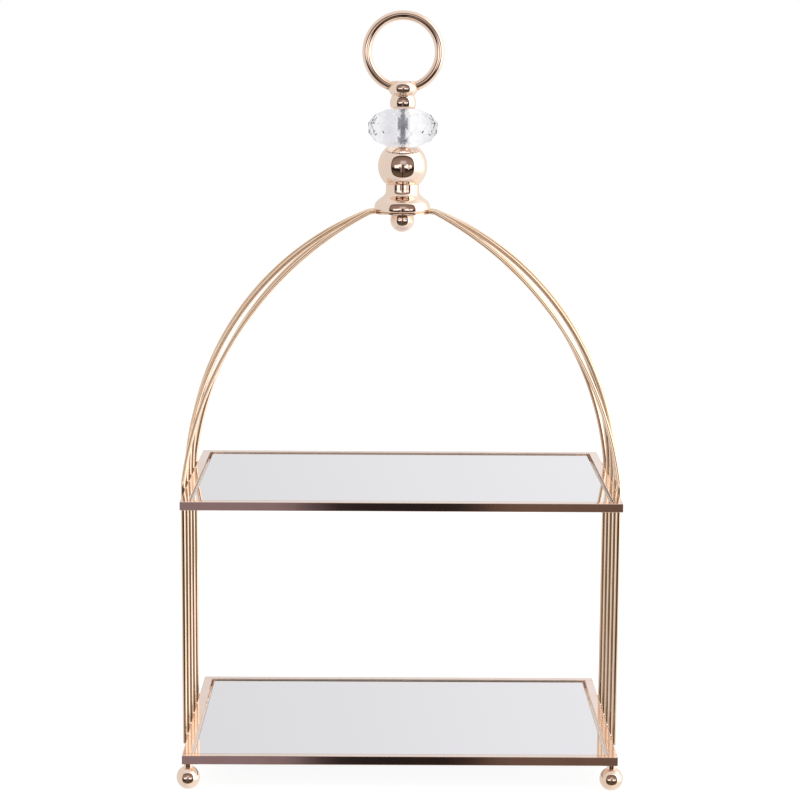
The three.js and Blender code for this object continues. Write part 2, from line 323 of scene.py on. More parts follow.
def addPanels(net, room, across, rise):
    p = panels
    parts = {"X": across, "Y": rise, "Z": p["swaySlice"]}
    spread = net.out("ShaderNodeCombineXYZ", "Vector", None, parts)
    sway = (net.noise(spread, p["swayScale"], detail=1.0) - 0.5) * p["swayAcross"]
    level = rise + sway * p["swayUp"]
    aside = across + sway
    leftPanel = net.within(aside, *p["leftAcross"]) * net.within(level, *p["leftUp"])
    rightPanel = net.within(aside, *p["rightAcross"]) * net.within(level, *p["rightUp"])
    dip = net.within(aside, *p["dipAcross"]) * p["dipShare"]
    room = net.mixColour(leftPanel, room, p["glow"])
    room = net.mixColour(rightPanel * (1 - dip), room, p["glow"])
    column = net.within(across, *p["columnAcross"]) * (1 - net.step(rise, *p["columnTop"]))
    return net.mixColour(column, room, gloom)


def makeTent():
    world = bpy.data.worlds.new("lightTent")
    bpy.context.scene.world = world
    world.use_nodes = True
    net = Net(world.node_tree)
    way = net.out("ShaderNodeTexCoord", "Generated")
    split = net.node("ShaderNodeSeparateXYZ", None, {0: way})
    x, y, z = (Wire(net, split.outputs[i]) for i in range(3))
    shell = makeShell(net, x, y, z)

    # the opening, as seen from the stand
    o = opening
    forward = net.sum("MAXIMUM", -y, 0.001)
    across = x / forward
    rise = z / forward
    wide = net.sum("ABSOLUTE", across / o["halfWide"]) ** o["cornerPower"]
    tall = net.sum("ABSOLUTE", rise / o["halfTall"]) ** o["cornerPower"]
    reach = (wide + tall) ** (1 / o["cornerPower"])
    inside = (1 - net.step(reach, 1 - o["edge"], 1 + o["edge"])) * net.step(-y, *o["front"])
    glossy = net.mixColour(inside, shell, makeRoom(net, across, rise, reach))

    c = crystalLight
    facing = net.step(-y, *c["facing"]) * c["facingShare"]
    through = net.mixColour(facing, net.ramp(x * 0.5 + 0.5, c["across"]), c["facingTone"])

    rays = net.node("ShaderNodeLightPath")
    seen = net.mixColour(Wire(net, rays.outputs["Is Transmission Ray"]), glossy, through)
    seen = net.mixColour(Wire(net, rays.outputs["Is Diffuse Ray"]), seen, tent["soft"])
    seen = net.mixColour(Wire(net, rays.outputs["Is Camera Ray"]), seen, tent["backdrop"])
    background = net.node("ShaderNodeBackground", None, {"Color": seen, "Strength": 1.0})
    net.surface(background, "ShaderNodeOutputWorld")


floorSetup = {
    "size": 60.0,
    "glow": 0.88,
    "tone": (0.20, 0.20, 0.20),
    "grain": (0.208, 0.208, 0.208),
    "grainScale": 40.0,
    "roughness": 0.9,
}


def makeFloor():
    f = floorSetup
    bpy.ops.mesh.primitive_plane_add(size=f["size"])
    floor = bpy.context.object
    floor.name = "studio_floor"
    material, net = startMaterial("paleFloor")
    grain = net.noise(net.stretched((1, 1, 1)), f["grainScale"])
    net.principled({
        "Base Color": net.mixColour(grain, f["tone"], f["grain"]),
        "Roughness": f["roughness"],
        "Specular IOR Level": 0.0,
        "Emission Color": (1.0, 1.0, 1.0, 1.0),
        "Emission Strength": f["glow"],
    })
    floor.data.materials.append(material)
    floor.visible_glossy = False
    floor.visible_transmission = False


lampSetup = {"place": (0.5, -0.3, 2.2), "size": 1.6, "power": 6.0}


def makeLamp():
    data = bpy.data.lights.new("softbox", "AREA")
    data.shape = "DISK"
    data.size = lampSetup["size"]
    data.energy = lampSetup["power"]
    lamp = bpy.data.objects.new("softbox", data)
    lamp.location = lampSetup["place"]
    lamp.rotation_euler = Vector(lampSetup["place"]).to_track_quat("Z", "Y").to_euler()
    lamp.visible_glossy = False
    bpy.context.scene.collection.objects.link(lamp)


bpy.ops.object.select_all(action="DESELECT")
makeTent()
makeFloor()
makeLamp()
print("light tent and floor made")


# Tones as a pair: the plain one, and a deeper one for soft patches
tones = {
    "warm": ((0.93, 0.715, 0.53), (0.89, 0.655, 0.45)),
    "rose": ((0.91, 0.735, 0.645), (0.88, 0.69, 0.59)),
    "gold": ((0.93, 0.735, 0.60), (0.90, 0.69, 0.53)),
    "pale": ((0.95, 0.77, 0.64), (0.93, 0.735, 0.60)),
}
polish = {
    "streakScale": 900.0,
    "patchScale": 38.0,
    "patchTone": (0.35, 0.75),
    "patchDull": (0.5, 0.8),
    "streakDullness": 0.02,
    "patchDullness": 0.015,
    "swellScale": 55.0,
    "swellHeight": 0.9,
    "speckScale": 2600.0,
    "speckHeight": 0.006,
    "streakHeight": 0.012,
    "bumpDistance": 0.0004,
}


def makePlating(name, pair, roughness, waviness, stretch=(1, 1, 1)):
    # polished plating: faint streaks along the metal, and slow swells in its surface
    p = polish
    material, net = startMaterial(name)
    plain = net.stretched((1, 1, 1))
    streak = net.noise(net.stretched(stretch), p["streakScale"], detail=3.0)
    patch = net.noise(plain, p["patchScale"], detail=2.0)
    speck = net.noise(plain, p["speckScale"], detail=1.0)
    dull = p["streakDullness"] * streak + p["patchDullness"] * net.step(patch, *p["patchDull"])
    swell = net.noise(plain, p["swellScale"], detail=1.0) * p["swellHeight"]
    swell = swell + speck * p["speckHeight"] + streak * p["streakHeight"]
    net.principled({
        "Base Color": net.mixColour(net.step(patch, *p["patchTone"]), *pair),
        "Metallic": 1.0,
        "Roughness": roughness + dull,
        "Normal": net.bump(swell, waviness, p["bumpDistance"]),
    })
    return material


silverLook = {
    "clean": (0.853, 0.837, 0.872),
    "dusty": (0.79, 0.78, 0.80),
    "dustScale": 900.0,
    "dustFrom": (0.72, 0.8),
    "dustShare": 0.5,
    "dustDullness": 0.05,
    "wipeStretch": (9, 60, 1),
    "wipeScale": 3.0,
    "wipeDullness": 0.012,
    "roughness": 0.012,
}


def makeSilvering():
    # mirror glass seen from above: an even silver with the faintest dust and wipe marks
    v = silverLook
    material, net = startMaterial("silveredGlass")
    wipes = net.noise(net.stretched(v["wipeStretch"]), v["wipeScale"], detail=3.0)
    dust = net.step(net.noise(net.stretched((1, 1, 1)), v["dustScale"], detail=1.0), *v["dustFrom"])
    net.principled({
        "Base Color": net.mixColour(dust * v["dustShare"], v["clean"], v["dusty"]),
        "Metallic": 1.0,
        "Roughness": v["roughness"] + v["wipeDullness"] * wipes + v["dustDullness"] * dust,
    })
    return material


glassEdgeLook = {
    "dark": (0.42, 0.50, 0.48),
    "light": (0.60, 0.66, 0.64),
    "grindStretch": (1, 1, 5),
    "grindScale": 700.0,
    "roughness": 0.2,
    "grindDullness": 0.25,
    "ior": 1.52,
    "coat": 0.3,
}


def makeGlassEdge():
    # the ground edge of the mirror plate
    v = glassEdgeLook
    material, net = startMaterial("groundGlassEdge")
    grind = net.noise(net.stretched(v["grindStretch"]), v["grindScale"], detail=2.0)
    net.principled({
        "Base Color": net.mixColour(grind, v["dark"], v["light"]),
        "Roughness": v["roughness"] + v["grindDullness"] * grind,
        "IOR": v["ior"],
        "Coat Weight": v["coat"],
    })
    return material


backPaintLook = {
    "dark": (0.22, 0.225, 0.235),
    "light": (0.30, 0.305, 0.315),
    "cloudScale": 14.0,
    "rollerScale": 420.0,
    "roughness": 0.45,
    "rollerDullness": 0.2,
    "bumpStrength": 0.25,
    "bumpDistance": 0.0002,
}


def makePaintedBack():
    # the protective grey paint on the mirror's back, with the roller's marks
    v = backPaintLook
    material, net = startMaterial("paintedBack")
    spot = net.stretched((1, 1, 1))
    roller = net.noise(spot, v["rollerScale"], detail=3.0)
    cloud = net.noise(spot, v["cloudScale"], detail=2.0)
    net.principled({
        "Base Color": net.mixColour(cloud, v["dark"], v["light"]),
        "Roughness": v["roughness"] + v["rollerDullness"] * roller,
        "Normal": net.bump(roller, v["bumpStrength"], v["bumpDistance"]),
    })
    return material


crystalLook = {
    "cool": (0.97, 0.975, 0.99),
    "clear": (0.99, 0.99, 1.0),
    "cloudScale": 60.0,
    "fineScale": 1500.0,
    "roughness": 0.004,
    "fineDullness": 0.012,
    "ior": 1.5,
}


def makeCrystalGlass():
    # clear cut glass with a breath of roughness
    v = crystalLook
    material, net = startMaterial("cutCrystal")
    spot = net.stretched((1, 1, 1))
    cloud = net.noise(spot, v["cloudScale"], detail=2.0)
    fine = net.noise(spot, v["fineScale"], detail=1.0)
    net.principled({
        "Base Color": net.mixColour(cloud, v["cool"], v["clear"]),
        "Roughness": v["roughness"] + v["fineDullness"] * fine,
        "IOR": v["ior"],
        "Transmission Weight": 1.0,
    })
    return material


steelLook = {
    "dark": (0.46, 0.46, 0.48),
    "light": (0.64, 0.64, 0.66),
    "bloomScale": 500.0,
    "roughness": 0.28,
    "bloomDullness": 0.2,
}


def makeSteel():
    # zinc-plated stud, a little dull
    v = steelLook
    material, net = startMaterial("zincPlatedSteel")
    bloom = net.noise(net.stretched((1, 1, 1)), v["bloomScale"], detail=3.0)
    net.principled({
        "Base Color": net.mixColour(bloom, v["dark"], v["light"]),
        "Metallic": 1.0,
        "Roughness": v["roughness"] + v["bloomDullness"] * bloom,
    })
    return material


barAcross = makePlating("barPlatingAcross", tones["rose"], 0.05, waviness=0.02, stretch=(0.05, 1, 1))
barDeep = makePlating("barPlatingDeep", tones["rose"], 0.05, waviness=0.02, stretch=(1, 0.05, 1))
rodGold = makePlating("rodPlating", tones["warm"], 0.04, waviness=0.006, stretch=(1, 1, 0.02))
ledgeGold = makePlating("ledgePlating", tones["pale"], 0.10, waviness=0.08)
weldGold = makePlating("weldPlating", tones["warm"], 0.09, waviness=0.4)
turnedGold = makePlating("turnedPlating", tones["pale"], 0.035, waviness=0.02, stretch=(1, 1, 6))
footGold = makePlating("footPlating", tones["gold"], 0.035, waviness=0.02, stretch=(1, 1, 4))
ringGold = makePlating("ringPlating", tones["gold"], 0.045, waviness=0.03)
silvering = makeSilvering()
glassEdge = makeGlassEdge()
paintedBack = makePaintedBack()
crystalGlass = makeCrystalGlass()
studSteel = makeSteel()
print("materials made")


def clearSelection():
    if bpy.context.mode != "OBJECT":
        bpy.ops.object.mode_set(mode="OBJECT")
    bpy.ops.object.select_all(action="DESELECT")


def selectOnly(piece):
    clearSelection()
    piece.select_set(True)
    bpy.context.view_layer.objects.active = piece


def enterEdit(piece):
    selectOnly(piece)
    bpy.ops.object.mode_set(mode="EDIT")


def choose(piece, kind, test):
    # selects the vertices, edges or faces that pass a test
    bpy.ops.mesh.select_mode(type=kind)
    bpy.ops.mesh.select_all(action="DESELECT")
    shape = bmesh.from_edit_mesh(piece.data)
    members = {"VERT": shape.verts, "EDGE": shape.edges, "FACE": shape.faces}[kind]
    for member in members:
        if test(member):
            member.select_set(True)
    shape.select_flush_mode()
    bmesh.update_edit_mesh(piece.data)


def edgeWay(edge):
    return (edge.verts[1].co - edge.verts[0].co).normalized()


def place(piece):
    # the object ends at the origin, with its place in its mesh
    selectOnly(piece)
    bpy.ops.object.transform_apply(location=True, rotation=True, scale=True)


def smoothOff(piece, degrees=30):
    selectOnly(piece)
    bpy.ops.object.shade_smooth_by_angle(angle=math.radians(degrees))


def keepFacesFlat(piece):
    # the wide faces set the shading, so that a bar reflects like a flat mirror up to its edges
    selectOnly(piece)
    weighting = piece.modifiers.new("flatFaces", "WEIGHTED_NORMAL")
    weighting.keep_sharp = True
    weighting.weight = 100
    bpy.ops.object.modifier_apply(modifier=weighting.name)


def dress(piece, name, *materials):
    piece.name = name
    piece.data.name = name
    piece.data.materials.clear()
    for material in materials:
        piece.data.materials.append(material)


def settle(piece, name, body, stands, slot, *materials):
    dress(piece, name, *materials)
    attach(piece, body)
    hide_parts(*stands)
    clearSelection()


def boxBetween(low, high):
    # a cube primitive at its size and place
    bpy.ops.mesh.primitive_cube_add(size=1, location=(low + high) / 2, scale=high - low)
    piece = bpy.context.object
    place(piece)
    return piece


def along(axis):
    # a test for the edges that run along an axis
    return lambda edge: abs(edgeWay(edge)[axis]) > 0.9


def levelWith(axis, *places):
    # a test for the edges whose two ends each lie in one of a few planes across an axis
    def onPlane(vertex):
        return any(abs(vertex.co[axis] - at) < near for at in places)
    return lambda edge: all(onPlane(vertex) for vertex in edge.verts)


def roundOver(piece, width, segments, test=lambda edge: True):
    enterEdit(piece)
    choose(piece, "EDGE", test)
    bpy.ops.mesh.bevel(offset=width, segments=segments, affect="EDGES", profile=0.5)
    bpy.ops.object.mode_set(mode="OBJECT")


barStyle = {
    "edgeRadius": 0.3 * mm,
    "edgeSegments": 4,
    "endRadius": 0.2 * mm,
    "endSegments": 2,
}


def makeBar(node, material):
    s = barStyle
    low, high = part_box(node)
    bar = boxBetween(low, high)
    long = 0 if high.x - low.x > high.y - low.y else 1
    roundOver(bar, s["edgeRadius"], s["edgeSegments"], along(long))
    # this takes the edges at both ends, and the long ones too, since they run from end to end
    roundOver(bar, s["endRadius"], s["endSegments"], levelWith(long, low[long], high[long]))
    smoothOff(bar)
    keepFacesFlat(bar)
    settle(bar, node + "_polished", "stand", [node], "frame_plating", material)


ledgeStyle = {"edgeRadius": 0.2 * mm, "edgeSegments": 2}


def makeLedge(node):
    low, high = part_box(node)
    ledge = boxBetween(low, high)
    roundOver(ledge, ledgeStyle["edgeRadius"], ledgeStyle["edgeSegments"])
    smoothOff(ledge)
    keepFacesFlat(ledge)
    settle(ledge, node + "_strip", "stand", [node], "ledge_plating", ledgeGold)


mirrorStyle = {
    "cornerRadius": 1.5 * mm,
    "cornerSegments": 5,
    "topArris": 0.35 * mm,
    "backArris": 0.175 * mm,
    "flatAbove": 0.99,           # how upright the normal of a flat face is
}


def makeMirror(node, body):
    s = mirrorStyle
    low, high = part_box(node)
    plate = boxBetween(low, high)
    roundOver(plate, s["cornerRadius"], s["cornerSegments"], along(2))
    roundOver(plate, s["topArris"], 1, levelWith(2, high.z))
    roundOver(plate, s["backArris"], 1, levelWith(2, low.z))
    smoothOff(plate, degrees=20)
    settle(plate, node + "_glass", body, [node], "mirror", glassEdge, silvering, paintedBack)
    # material 0 is the ground edge, 1 the silvering on top, 2 the paint underneath
    for face in plate.data.polygons:
        if face.normal.z > s["flatAbove"]:
            face.material_index = 1
        elif face.normal.z < -s["flatAbove"]:
            face.material_index = 2


for tray in ("lower", "upper"):
    for side in ("front", "back"):
        makeBar(f"{tray}_{side}_bar", barAcross)
        makeLedge(f"{tray}_{side}_ledge")
    for side in ("left", "right"):
        makeBar(f"{tray}_{side}_bar", barDeep)
        makeLedge(f"{tray}_{side}_ledge")
    makeMirror(f"{tray}_mirror", f"{tray}_mirror_plate")
print("trays made")


rodStyle = {
    "count": 5,
    "radius": 1.6 * mm,
    "sides": 20,
    "springing": 3 * mm,         # above the upper tray, where the arch begins
    "crownReach": 4 * mm,        # from the rods' inner ends out to the bend at the crown
    "crownGap": 0.8 * mm,        # between neighbouring rods at the crown plate
    "footBendRadius": 22 * mm,
    "crownBendRadius": 7 * mm,
    "arcSteps": 56,
    "bendSteps": 6,
    "endRadius": 0.25 * mm,
    "endSegments": 2,
}

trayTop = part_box("upper_front_bar")[1].z
plateLow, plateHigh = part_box("crown_plate")
midRodLow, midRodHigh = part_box("right_rod_3")
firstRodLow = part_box("right_rod_1")[0]
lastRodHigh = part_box("right_rod_5")[1]
rodPitch = (lastRodHigh.y - firstRodLow.y - 2 * rodStyle["radius"]) / (rodStyle["count"] - 1)
rodX = midRodHigh.x - rodStyle["radius"]
rodEndReach = midRodLow.x
crownZ = plateLow.z + rodStyle["radius"]
rodFan = (2 * rodStyle["radius"] + rodStyle["crownGap"]) / rodEndReach


def fromMiddle(index):
    # counts the rods of a side from its middle one, front to back
    return index - (rodStyle["count"] + 1) / 2


def rodEnds(side, k):
    fan = k * rodFan
    reach = rodEndReach + rodStyle["crownReach"]
    foot = Vector((side * rodX, k * rodPitch, trayTop + rodStyle["springing"]))
    bend = Vector((side * reach * math.cos(fan), reach * math.sin(fan), crownZ))
    return foot, bend


def halfAngle(chord, length):
    # half the turn of an arc of this chord and length, found by halving
    low, high = 0.001, math.pi / 2
    for _ in range(50):
        middle = (low + high) / 2
        if math.sin(middle) / middle > chord / length:
            low = middle
        else:
            high = middle
    return (low + high) / 2


def archLength():
    # the middle rod leaves the tray upright, and all rods are cut to its length
    foot, bend = rodEnds(1, 0)
    chord = (bend - foot).length
    half = math.atan2(foot.x - bend.x, bend.z - foot.z)
    return chord * half / math.sin(half)


def spinEnd(centre, axis, angle, steps):
    # spins what is selected about an axis, the right-handed way
    bpy.ops.mesh.spin(steps=steps, angle=-angle, center=centre, axis=axis)


def endRing(edge):
    # the edges between a tube's wall and its many-sided end
    return len(edge.link_faces) == 2 and max(len(face.verts) for face in edge.link_faces) > 4


def swing(point, way, newWay, radius, steps):
    # spins the rod's end round a small bend, and says where it comes out
    angle = way.angle(newWay)
    axis = way.cross(newWay).normalized()
    centre = point + axis.cross(way) * radius
    spinEnd(centre, axis, angle, steps)
    return centre + Matrix.Rotation(angle, 3, axis) @ (point - centre)


def makeRod(side, sideName, index):
    # straight up past the trays, a small bend, the long arc, a small bend, and a stub to the crown plate
    s = rodStyle
    node = f"{sideName}_rod_{index}"
    foot, bend = rodEnds(side, fromMiddle(index))
    chord = (bend - foot).length
    half = halfAngle(chord, archLength())
    radius = chord / (2 * math.sin(half))
    slope = (bend - foot).normalized()
    outward = side * Vector((slope.z, 0, -slope.x)).normalized()
    centre = foot + slope * chord / 2 - outward * radius * math.cos(half)
    axis = outward.cross(slope).normalized()
    up = Vector((0, 0, 1))
    inward = -Vector((bend.x, bend.y, 0)).normalized()

    startWay = slope * math.cos(half) + outward * math.sin(half)
    endWay = slope * math.cos(half) - outward * math.sin(half)
    footTrim = s["footBendRadius"] * math.tan(up.angle(startWay) / 2)
    crownTrim = s["crownBendRadius"] * math.tan(endWay.angle(inward) / 2)

    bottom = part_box(node)[0].z
    bpy.ops.mesh.primitive_circle_add(
        vertices=s["sides"], radius=s["radius"], fill_type="NGON", location=(foot.x, foot.y, bottom))
    rod = bpy.context.object
    place(rod)
    enterEdit(rod)
    bpy.ops.mesh.select_all(action="SELECT")
    rise = foot.z - footTrim - bottom
    bpy.ops.mesh.extrude_region_move(TRANSFORM_OT_translate={"value": (0, 0, rise)})
    point = foot - up * footTrim
    if footTrim > near:
        point = swing(point, up, startWay, s["footBendRadius"], s["bendSteps"])
    trimAngle = footTrim / radius
    arc = 2 * half - trimAngle - crownTrim / radius
    wanted = centre + Matrix.Rotation(trimAngle, 3, axis) @ (foot - centre)
    bpy.ops.transform.translate(value=wanted - point)
    spinEnd(centre, axis, arc, s["arcSteps"])
    point = centre + Matrix.Rotation(arc, 3, axis) @ (wanted - centre)
    way = Matrix.Rotation(trimAngle + arc, 3, axis) @ startWay
    point = swing(point, way, inward, s["crownBendRadius"], s["bendSteps"])
    stub = Vector((point.x, point.y, 0)).length - rodEndReach
    bpy.ops.mesh.extrude_region_move(TRANSFORM_OT_translate={"value": inward * stub})
    bpy.ops.mesh.select_all(action="SELECT")
    bpy.ops.mesh.normals_make_consistent(inside=False)
    choose(rod, "EDGE", endRing)
    bpy.ops.mesh.bevel(offset=s["endRadius"], segments=s["endSegments"], affect="EDGES")
    bpy.ops.object.mode_set(mode="OBJECT")
    smoothOff(rod, degrees=40)
    settle(rod, node + "_bent", "stand", [node], "rod_plating", rodGold)


for side, sideName in ((-1, "left"), (1, "right")):
    for index in range(1, rodStyle["count"] + 1):
        makeRod(side, sideName, index)
print("rods made")


weldStyle = {
    "size": (1.5 * mm, 1.9 * mm, 0.9 * mm),
    "crownSize": (0.8 * mm, 1.5 * mm, 0.55 * mm),
    "sink": 0.35 * mm,
    "reach": 0.15 * mm,          # out from the bar's face
    "segments": 16,
    "rings": 10,
    "crestFrom": 0.3,            # a share of the bead's height
    "crestFlat": 0.05 * mm,
}


def makeBead(at, size):
    s = weldStyle
    bpy.ops.mesh.primitive_uv_sphere_add(
        segments=s["segments"], ring_count=s["rings"], radius=1, location=at, scale=size)
    bead = bpy.context.object
    place(bead)
    enterEdit(bead)
    choose(bead, "VERT", lambda vertex: vertex.co.z - at.z > s["crestFrom"] * size[2])
    bpy.ops.mesh.bevel(offset=s["crestFlat"], segments=1, affect="EDGES")
    bpy.ops.object.mode_set(mode="OBJECT")
    return bead


def copyAt(source, shift):
    copy = source.copy()
    copy.data = source.data.copy()
    copy.data.transform(Matrix.Translation(shift))
    bpy.context.scene.collection.objects.link(copy)
    return copy


def joinWelds(pieces, name):
    clearSelection()
    for piece in pieces:
        piece.select_set(True)
    bpy.context.view_layer.objects.active = pieces[0]
    bpy.ops.object.join()
    welds = bpy.context.object
    smoothOff(welds, degrees=60)
    dress(welds, name, weldGold)
    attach(welds, "stand")


def makeTrayWelds(tray, side, sideName):
    # a bead above and below the bar at each rod
    barLow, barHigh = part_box(f"{tray}_{sideName}_bar")
    faceX = barHigh.x if side > 0 else barLow.x
    sink = weldStyle["sink"]
    at = Vector((faceX + side * weldStyle["reach"], 0, barHigh.z - sink))
    first = makeBead(at, weldStyle["size"])
    beads = []
    for index in range(1, rodStyle["count"] + 1):
        y = fromMiddle(index) * rodPitch
        for drop in (0, barHigh.z - barLow.z - 2 * sink):
            beads.append(copyAt(first, Vector((0, y, -drop))))
    bpy.data.objects.remove(first)
    joinWelds(beads, f"{tray}_{sideName}_welds")


def makeCrownWelds():
    # a bead where each rod ends on the crown plate's rim
    beads = []
    for side in (-1, 1):
        for index in range(1, rodStyle["count"] + 1):
            fan = fromMiddle(index) * rodFan
            bead = makeBead(Vector((0, 0, 0)), weldStyle["crownSize"])
            bead.data.transform(Matrix.Translation((rodEndReach, 0, 0)))
            bead.data.transform(Matrix.Rotation(fan if side > 0 else math.pi - fan, 4, "Z"))
            bead.data.transform(Matrix.Translation((0, 0, (plateLow.z + plateHigh.z) / 2)))
            beads.append(bead)
    joinWelds(beads, "crown_welds")


for tray in ("lower", "upper"):
    for side, sideName in ((-1, "left"), (1, "right")):
        makeTrayWelds(tray, side, sideName)
makeCrownWelds()
print("welds made")


def arcPoints(radius, centreZ, start, end, steps):
    # points of an arc about the axis, angles in degrees from the outward way
    points = []
    for i in range(steps + 1):
        angle = math.radians(start + (end - start) * i / steps)
        points.append((radius * math.cos(angle), centreZ + radius * math.sin(angle)))
    return points


def smoothLine(points, steps):
    # a smooth run through a few points
    run = []
    last = len(points) - 1
    for i in range(last):
        before, here, there, after = (
            Vector(points[min(max(i + j, 0), last)]) for j in (-1, 0, 1, 2))
        for step in range(steps):
            u = step / steps
            run.append(0.5 * (
                2 * here + (there - before) * u
                + (2 * before - 5 * here + 4 * there - after) * u * u
                + (3 * here - before - 3 * there + after) * u ** 3))
    run.append(Vector(points[last]))
    return [(p.x, p.y) for p in run]


turning = {"seed": 0.1 * mm, "mergeWithin": 0.002 * mm, "smoothAngle": 32}


def turnPiece(profile, centre=(0, 0), turns=96):
    # one vertex, extruded along the profile and spun about the upright axis
    cx, cy = centre
    radius, height = profile[0]
    bpy.ops.mesh.primitive_plane_add(size=turning["seed"], location=(cx + radius, cy, height))
    piece = bpy.context.object
    place(piece)
    enterEdit(piece)
    bpy.ops.mesh.select_mode(type="VERT")
    bpy.ops.mesh.select_all(action="SELECT")
    bpy.ops.mesh.merge(type="CENTER")
    for nextRadius, nextHeight in profile[1:]:
        bpy.ops.mesh.extrude_vertices_move(
            TRANSFORM_OT_translate={"value": (nextRadius - radius, 0, nextHeight - height)})
        radius, height = nextRadius, nextHeight
    bpy.ops.mesh.select_all(action="SELECT")
    bpy.ops.mesh.spin(steps=turns, angle=2 * math.pi, center=(cx, cy, 0), axis=(0, 0, 1))
    bpy.ops.mesh.select_all(action="SELECT")
    bpy.ops.mesh.remove_doubles(threshold=turning["mergeWithin"])
    bpy.ops.mesh.normals_make_consistent(inside=False)
    bpy.ops.object.mode_set(mode="OBJECT")
    smoothOff(piece, turning["smoothAngle"])
    return piece


footStyle = {
    "flatRadius": 1.8 * mm,
    "neckRadius": 3.2 * mm,
    "neckLip": 0.25 * mm,
    "boreRadius": 1.6 * mm,
    "boreDepth": 7.3 * mm,
    "arcSteps": 36,
    "turns": 64,
}


def makeFeet():
    s = footStyle
    for yName in ("front", "back"):
        for xName in ("left", "right"):
            node = f"foot_{yName}_{xName}"
            low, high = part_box(node)
            centreX, centreY = (low.x + high.x) / 2, (low.y + high.y) / 2
            radius = (high.x - low.x) / 2
            centreZ = math.sqrt(radius ** 2 - s["flatRadius"] ** 2)
            flat = -math.degrees(math.acos(s["flatRadius"] / radius))
            neck = math.degrees(math.acos(s["neckRadius"] / radius))
            profile = [(0, low.z)] + arcPoints(radius, centreZ, flat, neck, s["arcSteps"])
            lip = s["neckLip"]
            profile += [
                (s["neckRadius"], high.z - 2 * lip),
                (s["neckRadius"] + lip, high.z - lip),
                (s["neckRadius"] + lip, high.z),
                (s["boreRadius"], high.z),
                (s["boreRadius"], high.z - s["boreDepth"]),
                (0, high.z - s["boreDepth"]),
            ]
            foot = turnPiece(profile, (centreX, centreY), s["turns"])
            settle(foot, node + "_turned", "stand", [node], "foot_plating", footGold)


makeFeet()
for name, node in nodes.items():
    if name.startswith("foot_stud_"):
        node.data.materials.clear()
        node.data.materials.append(studSteel)
print("feet made")


finialStyle = {
    "boreRadius": 3.3 * mm,
    "plateLip": 0.25 * mm,
    "nutRadius": 8.6 * mm,
    "nutCentreDrop": 4.2 * mm,     # from the nut's flat top down to the middle of its ball
    "nutBoreDepth": 6.5 * mm,
    "collarBoreDepth": 8.6 * mm,
    "ballRadius": 17.5 * mm,
    "ballTopRadius": 11.3 * mm,
    "ballBottomRadius": 12.6 * mm,
    "ballSteps": 48,
    "ballTurns": 128,
    "nutSteps": 40,
    "baseSteps": 5,
    "baseTopRadius": 11.5 * mm,
    "collarSteps": 6,
}

# outlines as radius and height above each piece's foot, in millimetres
baseOutline = [
    (19.1, 0), (19.8, 0.8), (20, 2.2), (19.8, 4), (19, 6.4), (17.8, 7.8), (16.3, 9.1),
    (14.5, 10.4), (13, 11.7), (12.1, 13.3), (11.9, 15), (11.9, 17), (11.9, 19.1),
]
collarOutline = [
    (8.4, 0), (9.05, 1.6), (9.35, 4), (9.15, 5.8), (8.6, 7.4), (8.05, 8.9), (8.75, 9.9),
    (9.5, 11), (9.95, 12.2), (10.2, 13.9), (9.95, 15.7), (9.4, 17.1), (8.7, 18.2), (7.9, 19.2),
]


def scaled(outline, foot):
    return [(radius * mm, foot + height * mm) for radius, height in outline]


def makeCrownPlate():
    s = finialStyle
    low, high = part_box("crown_plate")
    lip = s["plateLip"]
    corner = 0.3 * lip           # the rim's edges are rounded in two flats
    plate = turnPiece([
        (s["boreRadius"], low.z),
        (high.x - lip, low.z),
        (high.x - corner, low.z + corner),
        (high.x, low.z + lip),
        (high.x, high.z - lip),
        (high.x - corner, high.z - corner),
        (high.x - lip, high.z),
        (s["boreRadius"], high.z),
        (s["boreRadius"], low.z),
    ])
    settle(plate, "crown_plate_turned", "stand", ["crown_plate"], "frame_plating", turnedGold)


def makeDomeNut():
    s = finialStyle
    low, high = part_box("dome_nut")
    top = math.degrees(math.asin(s["nutCentreDrop"] / s["nutRadius"]))
    ball = arcPoints(s["nutRadius"], high.z - s["nutCentreDrop"], -90, top, s["nutSteps"])
    profile = [(0, low.z)] + ball[1:]
    profile += [
        (s["boreRadius"], high.z),
        (s["boreRadius"], high.z - s["nutBoreDepth"]),
        (0, high.z - s["nutBoreDepth"]),
    ]
    nut = turnPiece(profile)
    settle(nut, "dome_nut_turned", "stand", ["dome_nut"], "finial_plating", turnedGold)


def makeFinialBase():
    s = finialStyle
    low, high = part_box("finial_base")
    profile = [(s["boreRadius"], low.z)]
    profile += smoothLine(scaled(baseOutline, low.z), s["baseSteps"])
    profile += [(s["baseTopRadius"], high.z), (s["boreRadius"], high.z), (s["boreRadius"], low.z)]
    base = turnPiece(profile)
    settle(base, "finial_base_turned", "stand", ["finial_base"], "finial_plating", turnedGold)


def makeFinialBall():
    s = finialStyle
    low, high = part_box("finial_ball")
    middle = low.z + math.sqrt(s["ballRadius"] ** 2 - s["ballBottomRadius"] ** 2)
    start = -math.degrees(math.acos(s["ballBottomRadius"] / s["ballRadius"]))
    end = math.degrees(math.acos(s["ballTopRadius"] / s["ballRadius"]))
    profile = [(s["boreRadius"], low.z)]
    profile += arcPoints(s["ballRadius"], middle, start, end, s["ballSteps"])
    profile += [(s["boreRadius"], high.z), (s["boreRadius"], low.z)]
    ball = turnPiece(profile, turns=s["ballTurns"])
    settle(ball, "finial_ball_turned", "stand", ["finial_ball"], "finial_plating", turnedGold)


